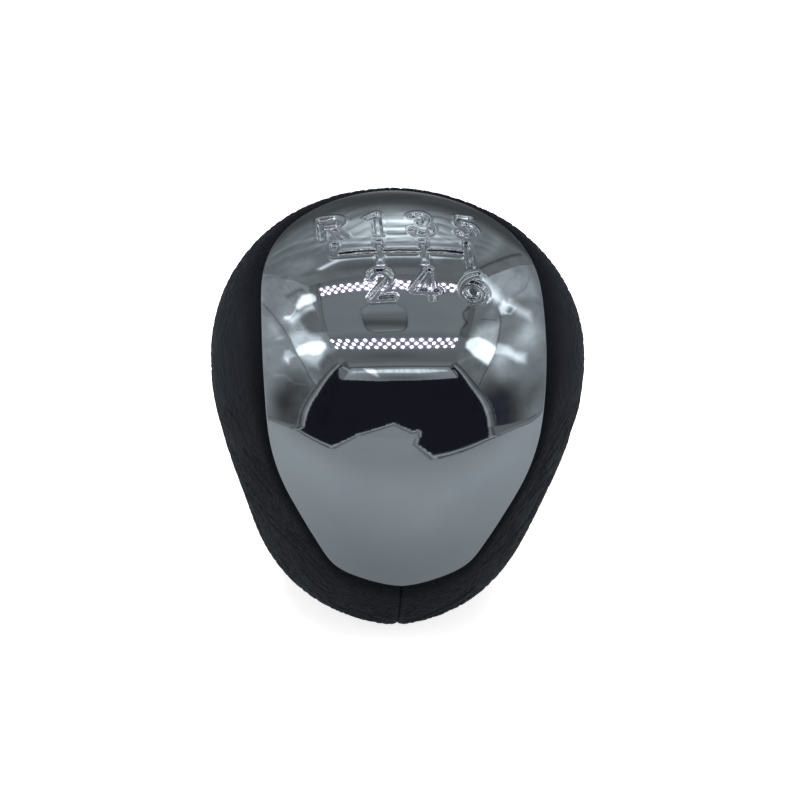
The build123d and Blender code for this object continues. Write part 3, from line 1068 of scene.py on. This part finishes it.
def card(name, corner, along_u, along_v, size_u, size_v, paint, material):
    """One painted side of the tent. paint gets the two coordinates along its edges in millimetres."""
    nu, nv = int(size_u / CARD_STEP) + 1, int(size_v / CARD_STEP) + 1
    gu, gv = np.meshgrid(np.linspace(0, size_u, nu), np.linspace(0, size_v, nv))
    points = np.array(corner) + gu[..., None] * along_u + gv[..., None] * along_v
    tone = paint(points[..., along_u.argmax()] / MM, points[..., along_v.argmax()] / MM)
    light = np.concatenate([tone_to_light(tone).reshape(-1, 3), np.ones((nu * nv, 1))], 1)
    piece = new_object(name, points.reshape(-1, 3), quads(nv, nu), material)
    tones = piece.data.color_attributes.new("tone", "FLOAT_COLOR", "POINT")
    tones.data.foreach_set("color", light.astype(np.float32).ravel())
    reflected_only(piece)


def lamp_row(name, xs, ys, size, drop, material):
    """Oval lamps that hang drop under the ceiling. Places and half sizes are in millimetres."""
    verts, faces = [], []
    for x, y in zip(xs, ys):
        faces.append(list(range(len(verts), len(verts) + LAMP_SIDES)))
        for turn in np.linspace(0, 2 * math.pi, LAMP_SIDES, endpoint=False):
            across, along = x + size[0] * math.cos(turn), y + size[1] * math.sin(turn)
            verts.append((across * MM, along * MM, TENT_HEIGHT - drop * MM))
    reflected_only(new_object(name, verts, faces, material))


def make_lamp_strips():
    """Two bowed strips of staggered lamps on the tent's ceiling, each lamp with a violet glow behind it."""
    lamp = lamp_material("tent_lamp", (0.93, 0.9, 1.0), 3.2)
    fringe = lamp_material("tent_lamp_fringe", (0.38, 0.3, 0.62), 0.8)
    for k in range(LAMP_ROWS):
        for name, pitch, (first, last), first_row, row_pitch, bow, size, fringe_size in LAMP_STRIPS:
            xs = np.arange(first + 0.5 * pitch * (k % 2), last, pitch)
            ys = first_row - row_pitch * k - bow * (1 - (xs / BOW_HALF_WIDTH) ** 2)
            lamp_row(f"{name}_lamps_{k}", xs, ys, size, 2, lamp)
            lamp_row(f"{name}_fringe_{k}", xs, ys, fringe_size, 1, fringe)


def make_tent():
    """Six painted cards and the lamps."""
    # The cards glow with painted light and shade of the tent's cloth, and only reflections see them.
    silver, nodes, links, glow = glowing("silver_lining_painted_glow")
    crinkle(nodes, links, glow, 22, 0.13, 0.2)
    plain, nodes, links, glow = glowing("tent_cloth_painted_glow")
    crinkle(nodes, links, glow, 9, 0.05)
    w, f, b, h = TENT_HALF_WIDTH, TENT_FRONT, TENT_BACK, TENT_HEIGHT
    x, y, z = np.eye(3)
    card("tent_left", (-w, f, 0), y, z, b - f, h, paint_left, silver)
    card("tent_right", (w, f, 0), y, z, b - f, h, paint_right, silver)
    card("tent_back", (-w, b, 0), x, z, 2 * w, h, paint_back, silver)
    card("tent_front", (-w, f, 0), x, z, 2 * w, h, paint_front, plain)
    card("tent_ceiling", (-w, f, h), x, y, 2 * w, b - f, paint_ceiling, plain)
    card("tent_floor", (-w, f, TENT_FLOOR), x, y, 2 * w, b - f, paint_floor, plain)
    make_lamp_strips()


def make_floor():
    """A white floor, just under the knob's base, that keeps its shadow."""
    material, nodes, links, shader = new_material("white_floor")
    shader.inputs["Base Color"].default_value = (0.85, 0.85, 0.85, 1)
    shader.inputs["Roughness"].default_value = 0.9
    shader.inputs["Specular IOR Level"].default_value = 0.0
    shader.inputs["Emission Color"].default_value = (1, 1, 1, 1)
    glow = times(nodes, links, seen_directly(nodes, links), FLOOR_GLOW)
    links.new(glow, shader.inputs["Emission Strength"])
    signs = ((-1, -1), (1, -1), (1, 1), (-1, 1))
    corners = [(FLOOR_HALF * x, FLOOR_HALF * y, FLOOR_LOW) for x, y in signs]
    new_object("floor", corners, [(0, 1, 2, 3)], material)


def make_world():
    """A white world that lights the knob at half its strength."""
    world = bpy.data.worlds.new("world")
    bpy.context.scene.world = world
    world.use_nodes = True
    nodes, links = world.node_tree.nodes, world.node_tree.links
    background = nodes["Background"]
    background.inputs["Color"].default_value = (1, 1, 1, 1)
    strength = times(nodes, links, seen_directly(nodes, links), 1 - AMBIENT, AMBIENT)
    links.new(strength, background.inputs["Strength"])


def make_lamp(name, location, aim, size, energy):
    """A soft square lamp that doesn't show in the plating."""
    data = bpy.data.lights.new(name, "AREA")
    data.energy = energy
    data.size = size
    lamp = bpy.data.objects.new(name, data)
    lamp.location = location
    lamp.rotation_mode = "QUATERNION"
    lamp.rotation_quaternion = (Vector(aim) - Vector(location)).to_track_quat("-Z", "Y")
    lamp.visible_glossy = False
    bpy.context.scene.collection.objects.link(lamp)


black_leather = leather()
make_shield()
make_panel("leather_panel_left", -1, "leather_left", black_leather)
make_panel("leather_panel_right", 1, "leather_right", black_leather)
make_camera()

dress("core_body", moulded("core_plastic", (0.05, 0.05, 0.055), (0.07, 0.07, 0.075), 0.45, 0.6))
dress("base_collar", moulded("collar_plastic", (0.016, 0.016, 0.018), (0.024, 0.024, 0.026), 0.35, 0.5))
dress("shield_tape", moulded("foam_tape", (0.03, 0.03, 0.03), (0.06, 0.06, 0.06), 0.8, 0.95))
dress("threaded_bush", turned("zinc_plated_steel", (0.5, 0.48, 0.42), (0.62, 0.6, 0.54), 0.3))
dress("steel_weight", turned("turned_steel", (0.38, 0.38, 0.4), (0.5, 0.5, 0.52), 0.34))
dress("weight_clip", turned("spring_steel", (0.3, 0.31, 0.36), (0.4, 0.41, 0.46), 0.3))

make_tent()
make_floor()
make_world()
for soft_lamp in SOFT_LAMPS:
    make_lamp(*soft_lamp)
bpy.context.scene.view_settings.view_transform = "Standard"
